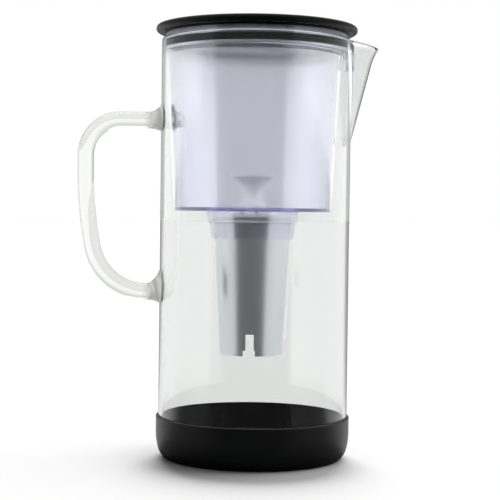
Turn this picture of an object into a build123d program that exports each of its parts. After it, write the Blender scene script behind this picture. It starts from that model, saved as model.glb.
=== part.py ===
from build123d import *
import math
import os

# A glass water filter pitcher: a straight jug with a drawn spout and a bent rod handle stands in
# a silicone boot. A tinted funnel hangs in the mouth of the jug on a ribbed gasket and carries a
# drop-in filter cartridge. The lid caps the funnel and has a flip-up flap for filling.
# Millimetres, +Z up. The origin is the centre of the foot. The handle lies to -X, the spout to +X.

# Clearances
running = 0.3        # between pieces that move past each other
fit = 0.05           # between pieces that sit together
pin_play = 0.05      # round the hinge pin, on the radius
past = 1.0           # how far a cutter runs on past the face it opens
join = 0.5           # how far two shapes of one piece run into each other

# Jug
jug_radius = 58.0
glass_wall = 2.0
glass_floor = 3.5
jug_rim_z = 255.7
jug_heel_round = 6.0
jug_rim_round = 0.5

# Boot
boot_wall = 1.35
boot_height = 25.6
boot_sole = 2.0
boot_foot_inset = 5.5        # from the side to the edge of the flat foot
boot_swell_z = 16.0          # below this height the side rounds in
boot_turn_inset = 1.3        # how far in, and at what height, the side turns under
boot_turn_z = 5.8
boot_lip_round = 0.6

# Spout: a V drawn out of the rim, whose ridge runs almost straight down to the wall
spout_reach = 17.3           # how far out of the wall the straight ridge would be at the rim
spout_height = 66.6          # from the rim down to where the ridge leaves the wall
spout_flare = 3.4            # how much further out the ridge bends at the rim
spout_flare_height = 13.5
spout_rim_half = 27.0        # half the width of the spout at the rim
spout_foot_half = 10.0
spout_flank_share = 0.36     # how far out the middle of a flank lies, which sets its hollow
spout_bite = 0.6             # the flanks start this far inside the wall
spout_lead = 6.0             # the bulge runs on this far below its foot and above the rim
spout_steps = 8              # outlines at even heights that shape the bulge
spout_droop = 3.1            # how far the tip hangs below the rim
lip_start = 30.0             # how far back from the tip the rim starts to curve down

# Handle
rod_radius = 4.9
handle_depth = 45.6          # from the wall to the centreline of the grip
upper_arm_drop = 50.2        # from the rim to the upper arm
lower_arm_z = 101.4
upper_bend = 21.5
lower_bend = 33.5
grip_sweep = 240.0           # radius of the long curve in the lower half of the grip
grip_lean = 11.2             # degrees that the long curve turns
upper_root_spread = 3.3      # how much wider than the rod a root is at the wall
upper_root_rise = 1.6        # how far the root spreads up from the arm
lower_root_spread = 5.7
lower_root_rise = 3.4
root_length = 10.0

# Funnel
funnel_offset = 1.5          # the cup stands this far from the jug's axis, towards the handle
collar_rise = 2.7            # the collar stands this far above the rim of the jug
collar_wall = 2.7
collar_lip = 4.4             # height of the collar above the gasket's groove
groove_height = 4.5
groove_depth = 1.5
flange_height = 1.7
collar_floor = 1.2           # thickness of the flange inside the collar
cup_depth = 97.0             # from the flange to the underside of the cup's floor
cup_inset = 2.4              # from the collar's side to the top of the cup's side
cup_taper = 5.35             # how much less the radius is at the floor
cup_wall = 2.0
cup_floor = 2.2
cup_heel_round = 1.2
cup_shoulder = 3.2           # height of the curve between cup and flange
shoulder_inset = 0.6         # the curve ends this far inside the edge of the flange

# Tongue on the funnel, which hangs in the spout and keeps the funnel turned the right way
tongue_reach = 2.6           # how far it stands out of the collar
tongue_thickness = 2.3
tongue_width = 9.0
tongue_length = 9.7
tongue_corner_round = 4.0
lug_width = 14.0
lug_corner_round = 1.5

# Gasket
rib_count = 3
rib_depth = 0.9
rib_share = 0.36             # half the width of a rib at its root, as a share of the pitch
gasket_spread = 0.2          # the ribs spread this far past the wall, into the spout
gasket_lobe_radius = 30.0

# Cartridge
shell_height = 84.1
shell_top_radius = 23.4
shell_taper = 4.4            # how much less the radius is at the foot
shell_wall = 1.5
shell_brim = 1.5             # how far the flange stands out
shell_flange = 2.0
slot_height = 13.2
slot_front_width = 7.4
slot_back_width = 5.3
slot_front_turn = 12.0       # degrees from -Y towards -X
slot_back_turn = 6.0         # degrees from +Y towards +X
outlet_floor = 1.6
outlet_hole = 2.6
outlet_ring_radii = (6.5, 12.5)
outlet_ring_counts = (6, 12)
seal_height = 1.4
seal_round = 0.35
screen_height = 0.8
carbon_share = 0.5           # the carbon lies over the resin and takes this share of the bed

# Socket under the cup, which takes the cartridge
socket_wall = 1.8
socket_step_height = 7.4     # from the cup down to the step
socket_neck_height = 9.3     # from the step down to the end
socket_ledge = 0.6           # the ledge inside lies this far above the step outside
socket_step_room = 0.5       # round the cartridge's flange
socket_step_taper = 1.3
socket_neck_taper = 0.6

# Knob on the cartridge
knob_rise = 26.1             # above the flange of the shell
knob_flare_radius = 13.2
knob_waist_radius = 6.0
knob_waist_drop = 8.6        # from the top of the knob to its waist
knob_rim_width = 1.8
knob_dish = 6.5
knob_core_radius = 3.4
cap_wall = 1.5
cap_flange = 1.5
cap_arch = 4.2
cap_shoulder_radius = 21.0
cap_slot_count = 12
cap_slot_width = 2.2
cap_slot_inner = 13.5
cap_slot_outer = 19.5
cap_plug = 1.0               # how far the cap's ring reaches down inside the shell

# Lid
lid_overhang = 3.6           # how far the lid stands out over the glass
lid_height = 5.4             # from the collar to the top
lid_rim_height = 4.3         # of the half-round edge
lid_rim_width = 5.6
lid_skin = 1.9
lid_plate = 1.3
locating_rib = 1.0
locating_rib_drop = 1.5
stiffener_count = 12
stiffener_width = 1.2

# Flap and its hinge
throat_radius = 28.5
throat_wall = 1.8
flap_overlap = 5.5           # how far the flap reaches past the throat
flap_edge_round = 0.4
flap_plug_depth = 2.4
flap_plug_wall = 1.7
flap_seal_gap = 0.8          # between the throat and the seal
flap_seal_width = 2.6
flap_seal_height = 1.2
seat_depth = 0.7             # the seal closes on a seat this far below the flap
pin_radius = 1.0
pin_length = 29.0
pin_chamfer = 0.2
hinge_behind = 2.5           # from the edge of the flap back to the pin
barrel_radius = 1.9
barrel_length = 22.0
hinge_ear = 3.0
pocket_back = 2.9            # behind the pin, room for the flap when it stands open
finger_scoop_radius = 9.0
finger_scoop_depth = 1.3
finger_scoop_out = 1.5       # the middle of the scoop lies this far outside the pocket

# Heights and radii that follow from the sizes above
jug_bottom_z = boot_sole + fit
jug_inner_radius = jug_radius - glass_wall
boot_radius = jug_radius + fit + boot_wall
boot_foot_radius = boot_radius - boot_foot_inset
boot_turn_radius = boot_radius - boot_turn_inset
spout_foot_z = jug_rim_z - spout_height
handle_reach = jug_radius + handle_depth
upper_arm_z = jug_rim_z - upper_arm_drop

collar_radius = jug_inner_radius - running
collar_inner_radius = collar_radius - collar_wall
collar_top_z = jug_rim_z + collar_rise
groove_top_z = collar_top_z - collar_lip
groove_bottom_z = groove_top_z - groove_height
groove_radius = collar_radius - groove_depth
flange_z = groove_bottom_z - flange_height
cup_top_radius = collar_radius - cup_inset
cup_bottom_radius = cup_top_radius - cup_taper
cup_bottom_z = flange_z - cup_depth
cup_floor_z = cup_bottom_z + cup_floor
tongue_outer = collar_radius + tongue_reach
tongue_bottom_z = flange_z - tongue_length

socket_step_z = cup_bottom_z - socket_step_height
socket_bottom_z = socket_step_z - socket_neck_height
socket_ledge_z = socket_step_z + socket_ledge
shell_flange_radius = shell_top_radius + shell_brim
shell_bottom_radius = shell_top_radius - shell_taper
socket_step_radius = shell_flange_radius + socket_step_room + socket_wall
socket_top_radius = socket_step_radius + socket_step_taper
socket_neck_radius = shell_top_radius + running + socket_wall
socket_neck_top_radius = socket_neck_radius + socket_neck_taper
flange_under_z = socket_ledge_z + seal_height + 2 * fit
shell_top_z = flange_under_z + shell_flange
shell_bottom_z = shell_top_z - shell_height
outlet_z = shell_bottom_z + slot_height
bed_bottom_z = outlet_z + outlet_floor + screen_height + 2 * fit
bed_top_z = flange_under_z - screen_height - fit
knob_top_z = shell_top_z + knob_rise
knob_waist_z = knob_top_z - knob_waist_drop
knob_dish_radius = knob_flare_radius - knob_rim_width

lid_radius = jug_radius + lid_overhang
lid_bottom_z = collar_top_z
lid_top_z = lid_bottom_z + lid_height
skin_z = lid_top_z - lid_skin
seat_z = skin_z - seat_depth
plate_top_z = lid_bottom_z + lid_plate + fit
flap_radius = throat_radius + flap_overlap
flap_seal_inner = throat_radius + flap_seal_gap
hinge_x = -(flap_radius + hinge_behind)
hinge_z = lid_top_z - barrel_radius


def turned(points, centre_x=0.0):
    """A solid of revolution from points (radius, height) about an upright axis."""
    outline = Plane.XZ * make_face(Polyline(*points, close=True))
    return Pos(centre_x, 0, 0) * revolve(outline, Axis.Z)


def disc(radius, bottom, top, centre_x=0.0):
    """An upright cylinder between two heights."""
    align = (Align.CENTER, Align.CENTER, Align.MIN)
    return Pos(centre_x, 0, bottom) * Cylinder(radius, top - bottom, align=align)


def ring(outer, inner, bottom, top, centre_x=0.0):
    """A flat ring between two heights."""
    hole = disc(inner, bottom - past, top + past, centre_x)
    return disc(outer, bottom, top, centre_x) - hole


def block(x_low, x_high, y_half, bottom, top):
    """A box that lies evenly about the XZ plane."""
    align = (Align.MIN, Align.CENTER, Align.MIN)
    return Pos(x_low, 0, bottom) * Box(x_high - x_low, 2 * y_half, top - bottom, align=align)


def on_line(value, low, high, low_value, high_value):
    """The value at one height of a straight taper."""
    return low_value + (high_value - low_value) * (value - low) / (high - low)


def spout_section(z, inset):
    """The outline of the spout at one height, with its back hidden inside the jug."""
    wall = jug_radius - inset
    rise = (z - spout_foot_z) / spout_height
    flare = max(0, 1 - (jug_rim_z - z) / spout_flare_height)
    reach = wall + rise * spout_reach + flare ** 2 * spout_flare
    half = spout_foot_half + (spout_rim_half - spout_foot_half) * rise
    edge_x = math.sqrt((wall - spout_bite) ** 2 - half ** 2)
    flank = (edge_x + (reach - edge_x) * spout_flank_share, half / 2)
    lip = Spline((edge_x, -half), (flank[0], -flank[1]), (reach, 0), flank, (edge_x, half),
                 tangents=[(half, edge_x), (-half, edge_x)])
    back = Polyline(lip @ 1, (wall / 2, half / 2), (wall / 2, -half / 2), lip @ 0)
    return Pos(0, 0, z) * make_face([lip, back])


def spout_bulge(inset):
    """The spout as a solid that leans out of the wall from its foot to above the rim."""
    low = spout_foot_z - spout_lead
    pitch = (spout_height + 2 * spout_lead) / spout_steps
    return loft([spout_section(low + step * pitch, inset) for step in range(spout_steps + 1)])


def lip_cutter():
    """What lies over the lip, where the rim curves down from the wall to the tip."""
    bow = lip_start ** 2 / (2 * spout_droop)
    tip = jug_radius + spout_reach + spout_flare
    start = tip - lip_start
    above = block(start, tip + past, jug_radius, jug_rim_z - 2 * spout_droop, jug_rim_z + past)
    under = Pos(start, 0, jug_rim_z - bow) * Rot(90, 0, 0) * Cylinder(bow, 3 * jug_radius)
    return above - under


def glass_jug():
    """Straight jug with a rounded heel, a fire-polished rim and the drawn spout."""
    above = jug_rim_z + spout_lead
    body = disc(jug_radius, jug_bottom_z, jug_rim_z)
    body = fillet(body.edges().sort_by(Axis.Z)[0], jug_heel_round)
    hollow = disc(jug_inner_radius, jug_bottom_z + glass_floor, above)
    hollow = fillet(hollow.edges().sort_by(Axis.Z)[0], jug_heel_round - glass_wall)
    body += spout_bulge(0)
    hollow += spout_bulge(glass_wall)
    body &= disc(2 * jug_radius, 0, jug_rim_z)
    body -= hollow
    rim = body.edges().group_by(Axis.Z)[-1]
    return fillet(rim, jug_rim_round) - lip_cutter()


def handle_path():
    """Centreline of the handle: lower arm, wide bend, long curve, grip, upper bend, upper arm."""
    lean = math.radians(grip_lean)
    lower_x = handle_reach - grip_sweep * (1 - math.cos(lean)) - lower_bend * math.cos(lean)
    inside = jug_inner_radius - past
    with BuildLine(Plane.XZ) as path:
        arm = Line((-inside, lower_arm_z), (-lower_x, lower_arm_z))
        bend = JernArc(arm @ 1, (-1, 0), lower_bend, grip_lean - 90)
        curve = JernArc(bend @ 1, (-math.sin(lean), math.cos(lean)), grip_sweep, -grip_lean)
        grip = Line(curve @ 1, (-handle_reach, upper_arm_z - upper_bend))
        crook = JernArc(grip @ 1, (0, 1), upper_bend, -90)
        Line(crook @ 1, (-inside, upper_arm_z))
    return path.wires()[0]


def handle_root(arm_z, extra, rise):
    """The glass that flares out of an arm, from just inside it, to where it is fused on."""
    sections = []
    for share, spread in ((-0.1, -0.1), (0.45, 0.13), (0.8, 0.5), (1.15, 1.25)):
        x = -(jug_radius + root_length * (1 - share))
        size = rod_radius + extra * spread
        place = Plane(origin=(x, 0, arm_z + rise * spread), x_dir=(0, 1, 0), z_dir=(1, 0, 0))
        sections.append(place * Circle(size))
    return loft(sections)


def glass_handle():
    """Bent glass rod with a flared root on each arm, cut to the round of the jug."""
    path = handle_path()
    section = Plane(origin=path @ 0, z_dir=path % 0) * Circle(rod_radius)
    handle = sweep(section, path=path)
    handle += handle_root(lower_arm_z, lower_root_spread, lower_root_rise)
    handle += handle_root(upper_arm_z, upper_root_spread, upper_root_rise)
    return handle - disc(jug_radius, 0, jug_rim_z)


def base_boot():
    """Soft boot that the jug stands in, with a rounded lip and a side that turns under."""
    top = boot_height - boot_lip_round
    swell = Line((boot_radius, top), (boot_radius, boot_swell_z))
    side = TangentArc(swell @ 1, (boot_turn_radius, boot_turn_z), tangent=(0, -1))
    under = TangentArc(side @ 1, (boot_foot_radius, 0), tangent=side % 1)
    inner = jug_radius + fit
    lip_out = TangentArc((boot_radius, top), (boot_radius - boot_lip_round, boot_height),
                         tangent=(0, 1))
    lip_top = Line(lip_out @ 1, (inner, boot_height))
    well = Line(lip_top @ 1, (inner, boot_sole + jug_heel_round + fit))
    heel = TangentArc(well @ 1, (inner - jug_heel_round, boot_sole), tangent=(0, -1))
    floor = Polyline(heel @ 1, (0, boot_sole), (0, 0), (boot_foot_radius, 0))
    outline = make_face([swell, side, under, lip_out, lip_top, well, heel, floor])
    return revolve(Plane.XZ * outline, Axis.Z)


def reservoir():
    """Tinted funnel: a collar with a gasket groove, a tapered cup and a stepped socket."""
    x = -funnel_offset
    cup_top_z = groove_bottom_z
    body = turned([(0, cup_bottom_z), (cup_bottom_radius, cup_bottom_z),
                   (cup_top_radius, flange_z), (cup_top_radius, cup_top_z), (0, cup_top_z)], x)
    body = fillet(body.edges().sort_by(Axis.Z)[0], cup_heel_round)
    body += disc(collar_radius, flange_z, groove_bottom_z)
    body += disc(groove_radius, flange_z, collar_top_z)
    body += disc(collar_radius, groove_top_z, collar_top_z)
    body += funnel_shoulder()
    body += funnel_tongue()
    body += turned([(0, socket_step_z), (socket_step_radius, socket_step_z),
                    (socket_top_radius, cup_bottom_z), (socket_top_radius, cup_floor_z),
                    (0, cup_floor_z)], x)
    body += turned([(0, socket_bottom_z), (socket_neck_radius, socket_bottom_z),
                    (socket_neck_top_radius, socket_ledge_z), (0, socket_ledge_z)], x)
    inner_bottom = cup_bottom_radius - cup_wall
    inner_top = cup_top_radius - cup_wall
    body -= turned([(0, cup_floor_z), (inner_bottom, cup_floor_z), (inner_top, flange_z),
                    (inner_top, cup_top_z), (0, cup_top_z)], x)
    body -= disc(collar_inner_radius, flange_z + collar_floor, collar_top_z + past)
    step_inner = socket_step_radius - socket_wall
    mouth_inner = socket_top_radius - socket_wall
    body -= turned([(0, socket_ledge_z), (step_inner, socket_ledge_z),
                    (mouth_inner, cup_floor_z), (mouth_inner, cup_floor_z + past),
                    (0, cup_floor_z + past)], x)
    neck_inner = socket_neck_radius - socket_wall
    neck_top_inner = socket_neck_top_radius - socket_wall
    body -= turned([(0, socket_bottom_z - past), (neck_inner, socket_bottom_z - past),
                    (neck_inner, socket_bottom_z), (neck_top_inner, socket_ledge_z),
                    (neck_top_inner, socket_ledge_z + past), (0, socket_ledge_z + past)], x)
    return body


def funnel_shoulder():
    """Hollow curve that spreads the offset cup out to the round flange, from just inside it."""
    sections = []
    for share, spread in ((-0.1, -0.08), (0.6, 0.22), (1.0, 1.0)):
        x = -funnel_offset * (1 - spread)
        z = flange_z - cup_shoulder * (1 - share)
        taper = on_line(z, cup_bottom_z, flange_z, cup_bottom_radius, cup_top_radius)
        radius = taper + (collar_radius - shoulder_inset - taper) * spread
        sections.append(Pos(x, 0, z) * Circle(radius))
    return loft(sections)


def funnel_tongue():
    """Lug on the flange at the spout, and the round-ended tongue that hangs from it."""
    lug = block(collar_inner_radius, tongue_outer, lug_width / 2, flange_z, groove_bottom_z)
    lug = fillet(lug.edges().filter_by(Axis.Z).group_by(Axis.X)[-1], lug_corner_round)
    tongue = block(tongue_outer - tongue_thickness, tongue_outer, tongue_width / 2,
                   tongue_bottom_z, flange_z + join)
    corners = tongue.edges().filter_by(Axis.X).group_by(Axis.Z)[0]
    return lug + fillet(corners, tongue_corner_round)


def rim_gasket():
    """Ribbed ring in the groove, which spreads into the spout where no glass presses it."""
    low = groove_bottom_z + fit
    high = groove_top_z - fit
    inner = groove_radius + fit
    tip = jug_inner_radius - fit
    pitch = (high - low) / rib_count
    ring_body = disc(tip - rib_depth, low, high)
    lobe_x = jug_radius + gasket_spread - gasket_lobe_radius
    ring_body += disc(gasket_lobe_radius - rib_depth, low, high, lobe_x)
    for index in range(rib_count):
        middle = low + pitch * (index + 0.5)
        half = pitch * rib_share
        for radius, x in ((tip, 0), (gasket_lobe_radius, lobe_x)):
            ring_body += turned([(0, middle - half), (radius - rib_depth, middle - half),
                                 (radius, middle - half / 3), (radius, middle + half / 3),
                                 (radius - rib_depth, middle + half), (0, middle + half)], x)
    return ring_body - disc(inner, low - past, high + past)


def filter_shell():
    """Tapered cartridge body: flange, outlet floor with holes, and a slotted skirt."""
    x = -funnel_offset
    top_radius = shell_top_radius
    body = turned([(0, shell_bottom_z), (shell_bottom_radius, shell_bottom_z),
                   (top_radius, flange_under_z), (shell_flange_radius, flange_under_z),
                   (shell_flange_radius, shell_top_z), (0, shell_top_z)], x)

    def inner(z):
        return on_line(z, shell_bottom_z, flange_under_z, shell_bottom_radius,
                       top_radius) - shell_wall
    floor_z = outlet_z + outlet_floor
    mouth = inner(flange_under_z)
    body -= turned([(0, floor_z), (inner(floor_z), floor_z), (mouth, flange_under_z),
                    (mouth, shell_top_z + past), (0, shell_top_z + past)], x)
    body -= turned([(0, shell_bottom_z - past), (inner(shell_bottom_z), shell_bottom_z - past),
                    (inner(outlet_z), outlet_z), (0, outlet_z)], x)
    for radius, count in zip(outlet_ring_radii, outlet_ring_counts):
        for place in PolarLocations(radius, count):
            hole = Cylinder(outlet_hole / 2, outlet_floor + 2 * past)
            body -= Pos(x, 0, outlet_z + outlet_floor / 2) * place * hole
    reach = shell_top_radius + past
    height = outlet_z - shell_bottom_z + past
    front = Pos(0, -reach / 2, 0) * Box(slot_front_width, reach, height)
    back = Pos(0, reach / 2, 0) * Box(slot_back_width, reach, height)
    slots = Rot(0, 0, -slot_front_turn) * front + Rot(0, 0, -slot_back_turn) * back
    return body - Pos(x, 0, outlet_z - height / 2) * slots


def filter_cap():
    """White cap of the cartridge: a flange, a dome with inlet slots and an hourglass knob."""
    low = shell_top_z + fit
    shoulder_z = low + cap_flange
    rim_low = knob_top_z - cap_wall
    foot = Line((shell_flange_radius, low), (shell_flange_radius, shoulder_z))
    brim = Line(foot @ 1, (cap_shoulder_radius, shoulder_z))
    cone = Spline(brim @ 1, (knob_waist_radius, knob_waist_z), (knob_flare_radius, rim_low),
                  tangents=[(-1, 0.25), (1, 0.45)])
    rim = Line(cone @ 1, (knob_flare_radius, knob_top_z))
    land = Line(rim @ 1, (knob_dish_radius, knob_top_z))
    dish = Spline(land @ 1, (0, knob_top_z - knob_dish), tangents=[(-1, -0.9), (-1, 0)])
    top_core = knob_top_z - knob_dish - cap_wall
    core = Polyline(dish @ 1, (0, top_core), (knob_core_radius, top_core),
                    (knob_core_radius, low + cap_arch))
    arch = ThreePointArc(core @ 1, (cap_slot_inner, low + cap_arch * 0.6),
                         (cap_slot_outer - past, low))
    base = Line(arch @ 1, foot @ 0)
    outline = make_face([foot, brim, cone, rim, land, dish, core, arch, base])
    body = revolve(Plane.XZ * outline, Axis.Z)
    align = (Align.MIN, Align.CENTER, Align.MIN)
    length = cap_slot_outer - cap_slot_inner
    for place in PolarLocations(cap_slot_inner, cap_slot_count):
        slot = Box(length, cap_slot_width, 2 * cap_arch + past, align=align)
        body -= Pos(0, 0, low - past) * place * slot
    plug_outer = shell_top_radius - shell_wall - fit
    body += ring(plug_outer, plug_outer - cap_wall, low - cap_plug, low + join)
    return Pos(-funnel_offset, 0, 0) * body


def filter_seal():
    """Round-cornered ring between the cartridge's flange and the ledge in the socket."""
    outer = socket_step_radius - socket_wall - running
    inner = shell_top_radius + fit
    seal = ring(outer, inner, socket_ledge_z + fit, flange_under_z - fit, -funnel_offset)
    return fillet(seal.edges(), seal_round)


def bed_radius(z):
    """Room inside the shell at a height, less the fit."""
    outside = on_line(z, shell_bottom_z, flange_under_z, shell_bottom_radius, shell_top_radius)
    return outside - shell_wall - fit


def screen(bottom):
    """Mesh disc that keeps the bed in the shell."""
    return disc(bed_radius(bottom) - fit, bottom, bottom + screen_height, -funnel_offset)


def bed(bottom, top):
    """A packed layer of grains, tapered with the shell."""
    return turned([(0, bottom), (bed_radius(bottom), bottom), (bed_radius(top), top), (0, top)],
                  -funnel_offset)


def lid_cover():
    """Top moulding: half-round rim, skin, flap pocket, throat, ribs and hinge ears."""
    body = disc(lid_radius, lid_top_z - lid_rim_height, lid_top_z)
    body = fillet(body.edges(), lid_rim_height / 2 - fit)
    body += disc(throat_radius + throat_wall, lid_bottom_z, skin_z)
    rim_inner = lid_radius - lid_rim_width
    under = ring(rim_inner, throat_radius + throat_wall, lid_bottom_z - past, skin_z)
    pocket_wall = flap_radius + running
    under -= ring(pocket_wall + throat_wall, throat_radius, plate_top_z, skin_z + past)
    align = (Align.CENTER, Align.CENTER, Align.MIN)
    for place in PolarLocations((rim_inner + throat_radius) / 2, stiffener_count):
        rib = Box(rim_inner - throat_radius, stiffener_width, lid_height, align=align)
        under -= Pos(0, 0, plate_top_z) * place * rib
    ear_y = barrel_length / 2 + running + hinge_ear
    back = hinge_x - pocket_back
    under -= block(back - throat_wall, hinge_x + barrel_radius, ear_y, plate_top_z, lid_top_z)
    body -= under
    body -= disc(pocket_wall, seat_z, lid_top_z + past)
    body -= disc(throat_radius, lid_bottom_z - past, lid_top_z + past)
    slot_y = barrel_length / 2 + running
    slot_front = hinge_x + barrel_radius + 2 * running
    body -= block(back, slot_front, slot_y, hinge_z - barrel_radius - running, lid_top_z + past)
    body -= block(back, -throat_radius - throat_wall, slot_y, seat_z, lid_top_z + past)
    body -= on_hinge(Cylinder(pin_radius + fit, pin_length + 2 * fit))
    scoop_z = lid_top_z + finger_scoop_radius - finger_scoop_depth
    body -= Pos(pocket_wall + finger_scoop_out, 0, scoop_z) * Sphere(finger_scoop_radius)
    return body


def on_hinge(shape):
    """Lays an upright shape along the hinge pin."""
    return Pos(hinge_x, 0, hinge_z) * Rot(90, 0, 0) * shape


def lid_base():
    """Ring plate that closes the lid from below, with the rib that centres it on the collar."""
    outer = lid_radius - lid_rim_width - fit
    inner = throat_radius + throat_wall + fit
    plate = ring(outer, inner, lid_bottom_z, lid_bottom_z + lid_plate)
    rib_outer = collar_inner_radius - running
    return plate + ring(rib_outer, rib_outer - locating_rib, lid_bottom_z - locating_rib_drop,
                        lid_bottom_z + join)


def fill_flap():
    """Round flap with a barrel at the back, a plug wall and a groove for its seal."""
    body = disc(flap_radius, skin_z, lid_top_z)
    body = fillet(body.edges().group_by(Axis.Z)[-1], flap_edge_round)
    body += block(hinge_x, -flap_radius * 0.7, barrel_length / 2, skin_z + fit, lid_top_z)
    body += on_hinge(Cylinder(barrel_radius, barrel_length))
    plug = throat_radius - running
    body += ring(plug, plug - flap_plug_wall, skin_z - flap_plug_depth, skin_z + join)
    body -= ring(flap_seal_inner + flap_seal_width, flap_seal_inner, skin_z - past,
                 seat_z + fit + flap_seal_height)
    return body - on_hinge(Cylinder(pin_radius + pin_play, barrel_length + 2 * past))


def flap_hinge_pin():
    """Steel pin through both ears and the barrel."""
    pin = Cylinder(pin_radius, pin_length)
    return on_hinge(chamfer(pin.edges(), pin_chamfer))


def flap_seal():
    """Soft ring in the flap's groove, which closes on the seat."""
    outer = flap_seal_inner + flap_seal_width - fit
    return ring(outer, flap_seal_inner + fit, seat_z + fit, seat_z + flap_seal_height)


def all_parts():
    """Every piece by its name."""
    screen_low_z = outlet_z + outlet_floor + fit
    divide_z = bed_bottom_z + (1 - carbon_share) * (bed_top_z - bed_bottom_z)
    return {
        "glass_jug": glass_jug(),
        "glass_handle": glass_handle(),
        "base_boot": base_boot(),
        "reservoir": reservoir(),
        "rim_gasket": rim_gasket(),
        "lid_cover": lid_cover(),
        "lid_base": lid_base(),
        "fill_flap": fill_flap(),
        "flap_hinge_pin": flap_hinge_pin(),
        "flap_seal": flap_seal(),
        "filter_shell": filter_shell(),
        "filter_cap": filter_cap(),
        "filter_seal": filter_seal(),
        "top_screen": screen(bed_top_z + fit),
        "carbon_bed": bed(divide_z + fit, bed_top_z),
        "resin_bed": bed(bed_bottom_z, divide_z),
        "bottom_screen": screen(screen_low_z),
    }


def main():
    os.makedirs("parts", exist_ok=True)
    for name, shape in all_parts().items():
        export_step(shape, "parts/" + name + ".step")


main()
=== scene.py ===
import math

import bmesh
import bpy
from mathutils import Matrix, Vector


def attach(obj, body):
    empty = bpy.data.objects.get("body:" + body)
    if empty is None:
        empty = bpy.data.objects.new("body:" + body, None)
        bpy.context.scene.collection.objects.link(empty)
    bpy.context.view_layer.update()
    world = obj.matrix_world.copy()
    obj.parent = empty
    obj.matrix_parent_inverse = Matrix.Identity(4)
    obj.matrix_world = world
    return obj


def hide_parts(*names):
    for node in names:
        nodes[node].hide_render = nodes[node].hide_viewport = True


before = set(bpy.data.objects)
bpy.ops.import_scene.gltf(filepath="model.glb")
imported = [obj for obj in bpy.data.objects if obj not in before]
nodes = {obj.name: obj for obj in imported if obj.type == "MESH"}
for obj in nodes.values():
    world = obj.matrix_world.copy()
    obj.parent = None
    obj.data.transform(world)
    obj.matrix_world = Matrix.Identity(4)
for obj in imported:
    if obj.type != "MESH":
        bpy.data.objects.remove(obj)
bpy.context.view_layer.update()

scene = bpy.context.scene
scene.view_settings.view_transform = "Standard"

# Camera, in metres and degrees
camera_distance = 0.86138
camera_azimuth = -8.5563
camera_height = 0.14912
camera_pitch = 1.4631
camera_yaw = 0.1782
camera_roll = 0.7218
focal_share = 2.8            # focal length as a share of the width of the picture
sensor = 36.0
dark_azimuth = camera_azimuth - 3.3      # middle of the dark side of the room
far_azimuth = camera_azimuth + 180       # straight behind the object

# Table, in metres
table_size = 60
table_drop = 0.0002          # just under the foot, so that the two faces don't coincide

# Glass jug and handle, in metres, after the CAD solids they stand for. The spout's flanks
# are shaped in another way, and its tip ends 0.7 mm nearer the axis than the solid's.
jug_radius = 0.058
jug_inner = 0.056
jug_bottom = 0.00205
jug_floor = 0.0035
jug_rim = 0.2557
heel_round = 0.006
spout_reach = 0.0173
spout_height = 0.0666
spout_flare = 0.0034
spout_flare_height = 0.0135
spout_rim_half = 0.027
spout_foot_half = 0.010
spout_power = 5.83           # how sharply the ridge of the V stands out of its flanks
spout_foot_ease = 0.008      # over this height the ridge grows out of the wall
spout_droop = 0.0031
lip_start = 0.030
rod_radius = 0.0049
handle_reach = 0.1036
upper_arm = 0.2055
lower_arm = 0.1014
upper_bend = 0.0215
lower_bend = 0.0335
grip_sweep = 0.240
grip_lean = 11.2             # degrees
root_length = 0.010
root_power = 2.6             # how sharply a root opens towards the wall
lower_root = (0.0057, 0.0034)            # how much wider than the rod, and how far it rises
upper_root = (0.0033, 0.0016)
rod_bite = 0.0008            # the rod starts this far outside the wall's inner face
frost_from, frost_to = -0.0705, -0.0655  # along x, where the roots turn matt
cloud_from, cloud_to = -0.0695, -0.0625  # and where they lose their clearness

# Fineness of the glass mesh
spout_edge = 32              # degrees from the middle of the spout to its last fine column
fine_step = 0.5              # degrees between the columns of the spout
fine_columns = 129
coarse_step = 1.4937         # degrees between all other columns
coarse_columns = 197
low_heights = (0.015, 0.0035, 49)        # first height, step and count below the spout
high_heights = (0.186, 0.0025, 28)       # the same beside the spout
round_steps = 8              # along each rounded edge of the wall
floor_ring = 0.03            # radius of an extra ring in the flat floor
rod_sides = 48
root_steps = 24              # in the half of an arm next to the wall, finer at the wall
arm_steps = 8                # in its other half
arm_ease = 1.5               # how strongly the steps shorten towards the wall
bend_steps = 24
sweep_steps = 12
straight_steps = 6
sharp_edge = 25              # degrees between faces that keep an edge

# Gauze of the cartridge, in metres
thread_pitch = 0.0008


def grey(value):
    return (value, value, value, 1)


def place_camera():
    """The photograph's view: from a little above the middle of the jug, slightly rolled."""
    azimuth = math.radians(camera_azimuth)
    heading = azimuth + math.radians(camera_yaw)
    pitch = math.radians(camera_pitch)
    forward = Vector((-math.sin(heading) * math.cos(pitch),
                      math.cos(heading) * math.cos(pitch), -math.sin(pitch)))
    right = Vector((math.cos(heading), math.sin(heading), 0))
    roll = Matrix.Rotation(math.radians(-camera_roll), 3, forward)
    right = roll @ right
    up = right.cross(forward)
    data = bpy.data.cameras.new("camera")
    data.sensor_width = sensor
    data.lens = sensor * focal_share
    data.clip_start = 0.01
    camera = bpy.data.objects.new("camera", data)
    scene.collection.objects.link(camera)
    turn = Matrix((right, up, -forward)).transposed().to_4x4()
    place = (camera_distance * math.sin(azimuth), -camera_distance * math.cos(azimuth),
             camera_height)
    camera.matrix_world = Matrix.Translation(place) @ turn
    scene.camera = camera


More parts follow.
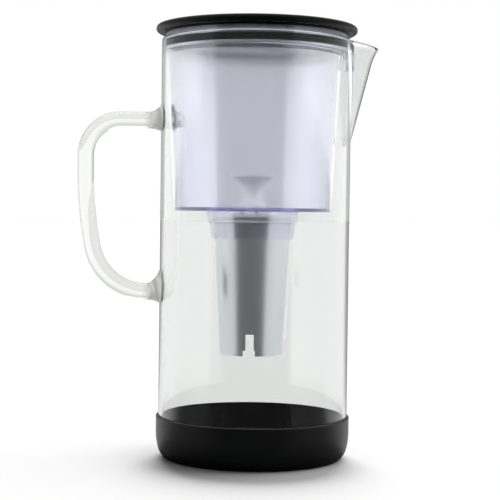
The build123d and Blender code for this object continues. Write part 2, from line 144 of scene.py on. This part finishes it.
class Nodes:
    """Short calls for building one node tree."""

    def __init__(self, owner):
        owner.use_nodes = True
        self.tree = owner.node_tree
        self.tree.nodes.clear()

    def add(self, kind, inputs=None, **settings):
        node = self.tree.nodes.new(kind)
        for key, value in settings.items():
            setattr(node, key, value)
        for key, value in (inputs or {}).items():
            self.put(node.inputs[key], value)
        return node

    def put(self, socket, value):
        if isinstance(value, bpy.types.NodeSocket):
            self.tree.links.new(value, socket)
        else:
            socket.default_value = value

    def math(self, operation, *values):
        node = self.add("ShaderNodeMath", operation=operation)
        for socket, value in zip(node.inputs, values):
            self.put(socket, value)
        return node.outputs[0]

    def span(self, value, low, high, to_low=0.0, to_high=1.0):
        """Eases from one number to another while the value goes from low to high."""
        node = self.add("ShaderNodeMapRange", interpolation_type="SMOOTHSTEP")
        for socket, number in zip(node.inputs, (value, low, high, to_low, to_high)):
            self.put(socket, number)
        return node.outputs[0]

    def blend(self, share, first, second):
        """First colour where the share is 0, second where it is 1."""
        node = self.add("ShaderNodeMix", data_type="RGBA")
        for name, value in (("Factor", share), ("A", first), ("B", second)):
            found = [s for s in node.inputs if s.name == name and s.enabled]
            self.put(found[0], value)
        return [s for s in node.outputs if s.enabled][0]

    def noise(self, scale, detail=2.0, roughness=0.5, vector=None):
        inputs = {"Scale": scale, "Detail": detail, "Roughness": roughness}
        if vector is not None:
            inputs["Vector"] = vector
        return self.add("ShaderNodeTexNoise", inputs).outputs["Fac"]

    def bump(self, height, distance, strength):
        inputs = {"Height": height, "Distance": distance, "Strength": strength}
        return self.add("ShaderNodeBump", inputs).outputs[0]

    def place(self, scale=(1, 1, 1)):
        where = self.add("ShaderNodeTexCoord").outputs["Object"]
        return self.add("ShaderNodeMapping", {"Vector": where, "Scale": scale}).outputs[0]

    def axis(self, index):
        where = self.add("ShaderNodeTexCoord").outputs["Object"]
        return self.add("ShaderNodeSeparateXYZ", {"Vector": where}).outputs[index]

    def along(self, vector, azimuth):
        """How far a vector reaches towards an azimuth, which counts from the front."""
        turn = math.radians(azimuth)
        inputs = {0: vector, 1: (math.sin(turn), -math.cos(turn), 0)}
        return self.add("ShaderNodeVectorMath", inputs, operation="DOT_PRODUCT").outputs["Value"]

    def surface(self, inputs, volume=None):
        """Principled shader wired to the material's output."""
        shade = self.add("ShaderNodeBsdfPrincipled", inputs)
        ends = {"Surface": shade.outputs[0]}
        if volume is not None:
            ends["Volume"] = volume
        self.add("ShaderNodeOutputMaterial", ends)


def new_material(name):
    material = bpy.data.materials.new(name)
    return material, Nodes(material)


def studio():
    """White room, dark on the side that the camera stands on, and plain white for the camera.

    What a ray brings back depends on how many faces of glass it has passed: the near wall is 2,
    the far wall 4. So reflections, the view through the glass and the light on what stands in
    the jug are each set apart.
    """
    world = bpy.data.worlds.new("studio")
    scene.world = world
    n = Nodes(world)
    direction = n.add("ShaderNodeTexCoord").outputs["Generated"]
    x, y, z = n.add("ShaderNodeSeparateXYZ", {"Vector": direction}).outputs
    flat = n.math("SQRT", n.math("ADD", n.math("MULTIPLY", x, x), n.math("MULTIPLY", y, y)))
    path = n.add("ShaderNodeLightPath").outputs

    def toward(azimuth):
        """Cosine between the ray's heading and an azimuth."""
        return n.math("DIVIDE", n.along(direction, azimuth), n.math("MAXIMUM", flat, 0.001))

    def within(azimuth, inside, outside):
        """1 up to so many degrees from an azimuth, easing to 0 further out."""
        cosines = (math.cos(math.radians(outside)), math.cos(math.radians(inside)))
        return n.span(toward(azimuth), *cosines)

    def deeper(kind, count):
        """1 for rays that have more than so many events of a kind behind them."""
        return n.math("GREATER_THAN", path[kind], count + 0.5)

    # What is mirrored: a dark wedge behind the camera between pale sides
    lower = n.span(z, 0.3, 0.6, 1.0, 0.0)
    dark = n.math("MULTIPLY", lower, within(dark_azimuth, 45, 51))
    black = (0.04, 0.04, 0.042, 1)
    inner = deeper("Transmission Depth", 2)
    low = n.span(z, 0.105, 0.125, 0.75, 0.3)
    outer = n.add("ShaderNodeCombineXYZ", {0: low, 1: low, 2: low}).outputs[0]
    in_glass = n.math("SUBTRACT", deeper("Transmission Depth", 0), inner)
    side = n.blend(in_glass, outer, grey(0.5))
    side = n.blend(within(far_azimuth, 10, 20), side, grey(0.35))
    side = n.blend(inner, side, grey(1.7))
    above = n.blend(deeper("Transmission Depth", 0), grey(0.9), grey(0.3))
    side = n.blend(lower, above, side)
    back = n.span(toward(far_azimuth), 0.2, 0.5)
    upward = n.math("MULTIPLY", inner, n.math("MULTIPLY", back, n.span(z, 0.12, 0.15)))
    side = n.blend(upward, side, black)
    wedge = n.blend(in_glass, black, grey(0.4))
    wedge = n.blend(inner, wedge, (0.35, 0.35, 0.352, 1))
    soft = n.math("MULTIPLY", lower, within(dark_azimuth, 40, 85))
    share = n.math("ADD", dark, n.math("MULTIPLY", inner, n.math("SUBTRACT", soft, dark)))
    mirrored = n.blend(share, side, wedge)

    # What is seen through the glass, where the rod and the walls differ
    along = n.math("ABSOLUTE", toward(far_azimuth))
    ahead = n.blend(n.span(along, 0.45, 0.93), (0.42, 0.43, 0.40, 1), grey(1.02))
    rod = n.blend(n.span(n.math("ABSOLUTE", z), 0.12, 0.5), ahead, (0.74, 0.75, 0.72, 1))
    through = n.blend(deeper("Transmission Depth", 2), rod, grey(0.80))
    through = n.blend(deeper("Transmission Depth", 6), through, grey(1.25))

    # What lights matt things, with more for those deep in the glass
    lighting = n.blend(deeper("Transmission Depth", 5), grey(0.80), grey(4.0))

    colour = n.blend(deeper("Glossy Depth", 0), through, mirrored)
    colour = n.blend(deeper("Diffuse Depth", 0), colour, lighting)
    colour = n.blend(path["Is Camera Ray"], colour, grey(1))
    room = n.add("ShaderNodeBackground", {"Color": colour, "Strength": 1.0})
    n.add("ShaderNodeOutputWorld", {"Surface": room.outputs[0]})


def sun(name, toward, angle, strength, lit=(), blockers=()):
    """Soft lamp far away; given lists, it lights only these things and only those shade it."""
    data = bpy.data.lights.new(name, "SUN")
    data.angle = math.radians(angle)
    data.energy = strength
    lamp = bpy.data.objects.new(name, data)
    lamp.rotation_euler = Vector(toward).to_track_quat("Z", "Y").to_euler()
    scene.collection.objects.link(lamp)
    for things, role in ((lit, "receiver_collection"), (blockers, "blocker_collection")):
        if things:
            group = bpy.data.collections.new(name + "_" + role)
            for thing in things:
                group.objects.link(thing)
            setattr(lamp.light_linking, role, group)


def make_floor():
    """Pale table with the object's soft shadow; in reflections, as where the glass mirrors it,
    it carries painted dark patches.
    """
    bpy.ops.mesh.primitive_plane_add(size=table_size, location=(0, 0, -table_drop))
    floor = bpy.context.object
    floor.name = "floor"
    material, n = new_material("floor")
    where = n.add("ShaderNodeTexCoord").outputs["Object"]
    toward = n.along(where, dark_azimuth)
    away = n.add("ShaderNodeVectorMath", {0: where}, operation="LENGTH").outputs["Value"]
    facing = n.math("DIVIDE", toward, away)
    path = n.add("ShaderNodeLightPath").outputs
    mirrored = n.math("GREATER_THAN", path["Glossy Depth"], 0.5)
    shallow = n.math("LESS_THAN", path["Transmission Depth"], 2.5)
    # Painted dark reflections: for reflected rays the table is painted near black in front of
    # the object and, for rays through little glass, beside it nearby and far behind it
    front = n.math("MULTIPLY", n.span(facing, 0.63, 0.71), n.span(away, 0.07, 0.13))
    near = n.math("MULTIPLY", n.span(facing, -0.25, 0.1), n.span(away, 0.3, 0.6, 0.85, 0.0))
    rim = n.math("MAXIMUM", near, n.span(facing, -0.8, -0.95, 0.0, 0.6))
    dark = n.math("MAXIMUM", front, n.math("MULTIPLY", shallow, rim))
    # The lit table colour, with the painted dark reflection patches
    colour_with_painted_dark = n.blend(n.math("MULTIPLY", mirrored, dark), grey(0.142), grey(0.01))
    colour = n.blend(path["Is Camera Ray"], colour_with_painted_dark, grey(0.171))
    shade = n.add("ShaderNodeBsdfDiffuse", {"Color": colour})
    n.add("ShaderNodeOutputMaterial", {"Surface": shade.outputs[0]})
    floor.data.materials.append(material)
    return floor


def glass(name, tint, wave, root=False):
    """Clear borosilicate glass with faint waves and smudges, frosted where it was fused."""
    material, n = new_material(name)
    waves = n.noise(14.0, 1.0, vector=n.place((1, 1, 0.35)))
    smudge = n.span(n.noise(45.0, 4.0, 0.6), 0.56, 0.75, 0.0, 0.05)
    colour = tint(n)
    clear = 1.0
    if root:
        frost = n.span(n.axis(0), frost_from, frost_to, 0.0, 0.20)
        smudge = n.math("MAXIMUM", smudge, frost)
        clear = n.span(n.axis(0), cloud_from, cloud_to, 1.0, 0.5)
    n.surface({
        "Base Color": colour, "Roughness": smudge, "IOR": 1.474,
        "Transmission Weight": clear, "Normal": n.bump(waves, wave, 0.25)})
    return material


def tinted():
    """Lavender clear moulding, whose tint deepens with the length of the way through it."""
    material, n = new_material("tinted_clear_plastic")
    flow = n.noise(20.0, 2.0, vector=n.place((1, 1, 0.2)))
    rough = n.span(n.noise(60.0, 3.0), 0.35, 0.8, 0.16, 0.21)
    tint = n.add("ShaderNodeVolumeAbsorption",
                 {"Color": (0.25, 0.30, 0.95, 1), "Density": 50.0})
    n.surface({
        "Base Color": (0.99, 0.99, 0.995, 1), "Roughness": rough, "IOR": 1.5,
        "Transmission Weight": 0.98, "Normal": n.bump(flow, 0.0005, 0.2),
        "Coat Weight": 1.0, "Coat Roughness": 0.1, "Coat IOR": 2.2}, tint.outputs[0])
    return material


def milky():
    """White polypropylene that lets some light through."""
    material, n = new_material("white_plastic")
    cloud = n.noise(60.0, 3.0)
    n.surface({
        "Base Color": n.blend(cloud, (0.80, 0.80, 0.82, 1), (0.86, 0.86, 0.88, 1)),
        "Roughness": n.span(cloud, 0.3, 0.7, 0.35, 0.45), "IOR": 1.45,
        "Transmission Weight": 0.15, "Normal": n.bump(n.noise(700.0, 2.0), 0.00004, 0.4)})
    return material


def solid(name, colour, rough, spread=0.04, grain=900.0, depth=0.00004, metallic=0.0,
          specular=0.5, colour_spread=0.08):
    """Opaque moulding: fine grain in the surface, slightly uneven colour and gloss."""
    material, n = new_material(name)
    cloud = n.noise(35.0, 3.0)
    low = [c * (1 - colour_spread) for c in colour] + [1]
    high = [min(1, c * (1 + colour_spread)) for c in colour] + [1]
    n.surface({
        "Base Color": n.blend(cloud, low, high),
        "Roughness": n.span(cloud, 0.3, 0.7, rough - spread, rough + spread),
        "Metallic": metallic, "Specular IOR Level": specular,
        "Normal": n.bump(n.noise(grain, 2.0), depth, 0.5)})
    return material


def grains(name, dark, light, size, rough, depth):
    """Loose bed: every grain has its own tone and stands out of the gaps between them, which are
    painted darker as shade.
    """
    material, n = new_material(name)
    cells = n.add("ShaderNodeTexVoronoi", {"Vector": n.place(), "Scale": 1 / size})
    shade_of = n.add("ShaderNodeSeparateXYZ", {"Vector": cells.outputs["Color"]}).outputs[0]
    gap = n.span(cells.outputs["Distance"], 0.35, 0.65)
    # Painted shade: the gaps between grains are painted at 0.3 of the darkest grain colour
    colour = n.blend(gap, n.blend(shade_of, dark, light), [0.3 * c for c in dark[:3]] + [1])
    n.surface({
        "Base Color": colour, "Roughness": n.span(shade_of, 0, 1, rough - 0.12, rough + 0.12),
        "Normal": n.bump(n.math("SUBTRACT", 1.0, cells.outputs["Distance"]), depth, 0.8)})
    return material


def weave():
    """Nylon gauze: round threads over and under each other, with painted dark shade in the holes
    between.
    """
    material, n = new_material("mesh")
    warp, weft = [
        n.math("ABSOLUTE", n.math("SINE", n.math("MULTIPLY", n.axis(i), math.pi / thread_pitch)))
        for i in (0, 1)]
    thread = n.math("MAXIMUM", warp, weft)
    # Painted shade: the holes between the threads are painted near black
    colour = n.blend(n.span(thread, 0.70, 0.86), grey(0.06), (0.74, 0.74, 0.72, 1))
    n.surface({
        "Base Color": colour, "Roughness": n.span(n.noise(400.0), 0.3, 0.7, 0.45, 0.6),
        "Normal": n.bump(thread, 0.0002, 0.8)})
    return material


def brushed():
    """Turned steel pin with fine marks round it."""
    material, n = new_material("pin_steel")
    marks = n.noise(1.0, 3.0, vector=n.place((60, 9000, 60)))
    n.surface({
        "Base Color": n.blend(marks, (0.52, 0.53, 0.55, 1), (0.70, 0.71, 0.73, 1)),
        "Roughness": n.span(marks, 0.3, 0.7, 0.20, 0.36), "Metallic": 1.0,
        "Normal": n.bump(marks, 0.00002, 0.5)})
    return material


def wall_columns():
    """Angles round the jug, close together where the spout is drawn out."""
    fine = [-spout_edge + fine_step * step for step in range(fine_columns)]
    coarse = [spout_edge + coarse_step * step for step in range(1, coarse_columns + 1)]
    return [math.radians(a) for a in fine + coarse]


def drawn_out(y, z):
    """How far the spout draws the wall outwards at a height and a distance from the middle."""
    rise = (z - (jug_rim - spout_height)) / spout_height
    if rise <= 0:
        return 0.0
    half = spout_foot_half + (spout_rim_half - spout_foot_half) * rise
    if abs(y) >= half:
        return 0.0
    flare = max(0.0, 1 - (jug_rim - z) / spout_flare_height)
    ease = min(1.0, rise * spout_height / spout_foot_ease)
    ridge = rise * spout_reach * ease * ease * (3 - 2 * ease) + flare ** 2 * spout_flare
    return ridge * (1 - (y / half) ** 2) ** spout_power


def jug_outline():
    """Radius and height from the middle of the foot, up the outside and down the inside."""
    points = [(0.0, jug_bottom), (floor_ring, jug_bottom)]
    heel = jug_radius - heel_round
    for step in range(round_steps + 1):
        turn = math.radians(90 * step / round_steps)
        points.append((heel + heel_round * math.sin(turn),
                       jug_bottom + heel_round * (1 - math.cos(turn))))
    heights = [first + gap * step for first, gap, count in (low_heights, high_heights)
               for step in range(count)]
    points += [(jug_radius, z) for z in heights]
    lip = (jug_radius - jug_inner) / 2
    for step in range(round_steps + 1):
        turn = math.radians(180 * step / round_steps)
        points.append((jug_inner + lip + lip * math.cos(turn),
                       jug_rim - lip + lip * math.sin(turn)))
    points += [(jug_inner, z) for z in reversed(heights)]
    inner_round = heel_round - (jug_radius - jug_inner)
    floor_z = jug_bottom + jug_floor
    for step in range(round_steps + 1):
        turn = math.radians(90 - 90 * step / round_steps)
        points.append((heel + inner_round * math.sin(turn),
                       floor_z + inner_round * (1 - math.cos(turn))))
    return points + [(floor_ring, floor_z), (0.0, floor_z)]


def lip_drop(angle, z):
    """How far the rim hangs at this angle, fading out down the wall."""
    tip = jug_radius + spout_reach + spout_flare
    y = jug_radius * math.sin(angle)
    reach = jug_radius * math.cos(angle) + drawn_out(y, jug_rim) - (tip - lip_start)
    if reach <= 0:
        return 0.0
    fade = max(0.0, 1 - (jug_rim - z) / spout_height)
    return spout_droop * (reach / lip_start) ** 2 * fade ** 3


def jug_mesh():
    """The blown wall, turned about its axis, with the spout drawn out of it."""
    columns = wall_columns()
    mesh = bmesh.new()
    rings = []
    for radius, z in jug_outline():
        if radius == 0:
            rings.append([mesh.verts.new((0, 0, z))])
            continue
        ring = []
        for angle in columns:
            low = z - lip_drop(angle, z)
            y = radius * math.sin(angle)
            x = radius * math.cos(angle)
            if x > 0:
                x += drawn_out(y, low)
            ring.append(mesh.verts.new((x, y, low)))
        rings.append(ring)
    skin(mesh, rings)
    return mesh


def skin(mesh, rings):
    """Faces between rings, where a ring of one point closes the form."""
    for low, high in zip(rings, rings[1:]):
        count = max(len(low), len(high))
        for i in range(count):
            j = (i + 1) % count
            corners = []
            for ring, index in ((low, i), (low, j), (high, j), (high, i)):
                corner = ring[index % len(ring)]
                if corner not in corners:
                    corners.append(corner)
            mesh.faces.new(corners)


def handle_line():
    """Points and directions of the rod's centreline from the lower root to the upper root."""
    lean = math.radians(grip_lean)
    line = []
    lower_x = handle_reach - grip_sweep * (1 - math.cos(lean)) - lower_bend * math.cos(lean)
    start = jug_inner + rod_bite
    shares = [0.5 * (step / root_steps) ** arm_ease for step in range(root_steps)]
    shares += [0.5 + step / (2 * arm_steps) for step in range(arm_steps + 1)]
    for share in shares:
        line.append((start + (lower_x - start) * share, lower_arm, 0.0))
    for step in range(1, bend_steps + 1):
        turn = (math.pi / 2 - lean) * step / bend_steps
        line.append((lower_x + lower_bend * math.sin(turn),
                     lower_arm + lower_bend * (1 - math.cos(turn)), turn))
    sweep_z = line[-1][1] + grip_sweep * math.sin(lean)
    for step in range(1, sweep_steps + 1):
        turn = lean * (1 - step / sweep_steps)
        line.append((handle_reach - grip_sweep * (1 - math.cos(turn)),
                     sweep_z - grip_sweep * math.sin(turn), math.pi / 2 - turn))
    top = upper_arm - upper_bend
    for step in range(1, straight_steps + 1):
        line.append((handle_reach, sweep_z + (top - sweep_z) * step / straight_steps,
                     math.pi / 2))
    for step in range(1, bend_steps + 1):
        turn = math.pi / 2 * step / bend_steps
        line.append((handle_reach - upper_bend * (1 - math.cos(turn)),
                     top + upper_bend * math.sin(turn), math.pi / 2 + turn))
    upper_x = handle_reach - upper_bend
    for share in reversed(shares[:-1]):
        line.append((start + (upper_x - start) * share, upper_arm, math.pi))
    return line


def handle_mesh():
    """The rod swept along its line, flared where it is fused to the wall."""
    mesh = bmesh.new()
    rings = []
    line = handle_line()
    for index, (x, z, turn) in enumerate(line):
        lower = index < len(line) / 2
        spread, rise = lower_root if lower else upper_root
        near = max(0.0, 1 - max(0.0, x - jug_radius) / root_length)
        flare = near ** root_power
        radius = rod_radius + spread * flare
        ring = []
        for step in range(rod_sides):
            around = 2 * math.pi * step / rod_sides
            side = radius * math.cos(around)
            out = radius * math.sin(around)
            ring.append(mesh.verts.new((-(x - side * math.sin(turn)), out,
                                        z + side * math.cos(turn) + rise * flare)))
        rings.append(ring)
    first, last = [[mesh.verts.new(sum((v.co for v in ring), Vector()) / len(ring))]
                   for ring in (rings[0], rings[-1])]
    skin(mesh, [first] + rings + [last])
    return mesh


def to_object(mesh, name, material):
    """Object with this mesh and material, faces turned outwards."""
    bmesh.ops.recalc_face_normals(mesh, faces=mesh.faces)
    data = bpy.data.meshes.new(name)
    mesh.to_mesh(data)
    mesh.free()
    thing = bpy.data.objects.new(name, data)
    scene.collection.objects.link(thing)
    data.materials.append(material)
    return thing


def wall_tint(n):
    """Blown wall with faint upright streaks."""
    streak = n.noise(9.0, 2.0, vector=n.place((1, 1, 0.1)))
    return n.blend(streak, (0.965, 0.975, 0.968, 1), (0.985, 0.99, 0.985, 1))


def rod_tint(n):
    """Solid rod, greyer along the arms than in the grip."""
    arms = n.span(n.axis(0), -0.094, -0.082)
    return n.blend(arms, (0.97, 0.98, 0.96, 1), (0.96, 0.97, 0.93, 1))


def fuse_glass():
    """One skin for the jug and its handle, which are fused on the real pitcher."""
    wall = to_object(jug_mesh(), "jug_glass", glass("clear_glass", wall_tint, 0.0006))
    rod = to_object(handle_mesh(), "rod_glass", glass("rod_glass", rod_tint, 0.0004, True))
    union = wall.modifiers.new("fuse", "BOOLEAN")
    union.operation = "UNION"
    union.solver = "EXACT"
    union.material_mode = "TRANSFER"
    union.object = rod
    shape = wall.evaluated_get(bpy.context.evaluated_depsgraph_get())
    fused = bpy.data.meshes.new_from_object(shape)
    wall.modifiers.clear()
    wall.data = fused
    bpy.data.objects.remove(rod)
    fused.polygons.foreach_set("use_smooth", [True] * len(fused.polygons))
    fused.set_sharp_from_angle(angle=math.radians(sharp_edge))
    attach(wall, "jug")
    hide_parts("glass_jug", "glass_handle")


def dress():
    """Gives each CAD shape its material; pieces of the same moulding stuff share one."""
    looks = {
        "reservoir": tinted(),
        "base_boot": solid("black_silicone", (0.0022, 0.0024, 0.0027), 0.36, specular=0.36),
        "rim_gasket": solid("gasket_silicone", (0.002, 0.002, 0.0022), 0.42, specular=0.2),
        "lid_cover": solid("black_plastic", (0.002, 0.002, 0.0022), 0.30, specular=0.15),
        "filter_shell": solid("silver_plastic", (0.83, 0.855, 0.875), 0.32, metallic=0.9,
                              grain=1200.0, depth=0.0000001, spread=0.01, colour_spread=0.01),
        "filter_cap": milky(),
        "filter_seal": solid("seal_silicone", (0.55, 0.56, 0.58), 0.5),
        "flap_hinge_pin": brushed(),
        "top_screen": weave(),
        "carbon_bed": grains("carbon_grains", (0.010, 0.010, 0.011, 1), (0.05, 0.05, 0.052, 1),
                             0.0012, 0.55, 0.0004),
        "resin_bed": grains("resin_grains", (0.42, 0.24, 0.06, 1), (0.72, 0.50, 0.20, 1),
                            0.0007, 0.30, 0.0003)}
    same = {"lid_base": "lid_cover", "fill_flap": "lid_cover",
            "flap_seal": "filter_seal", "bottom_screen": "top_screen"}
    for node, thing in nodes.items():
        look = same.get(node, node)
        if look in looks:
            thing.data.materials.clear()
            thing.data.materials.append(looks[look])


place_camera()
studio()
floor = make_floor()
sun("key", (0.0, 0.35, 1.0), 50, 0.6)
sun("floor_key", (0.134, 0.89, 0.44), 42, 26.0, [floor], [nodes["base_boot"]])
sun("floor_side", (0.75, 0.25, 0.75), 60, 6.5, [floor], [nodes["base_boot"]])
held = [nodes["filter_cap"], nodes["filter_seal"]]
sun("inner_left", (-1.0, -0.2, 0.45), 60, 2.6, held, held)
sun("inner_right", (1.0, -0.2, 0.45), 60, 2.6, held, held)
fuse_glass()
dress()
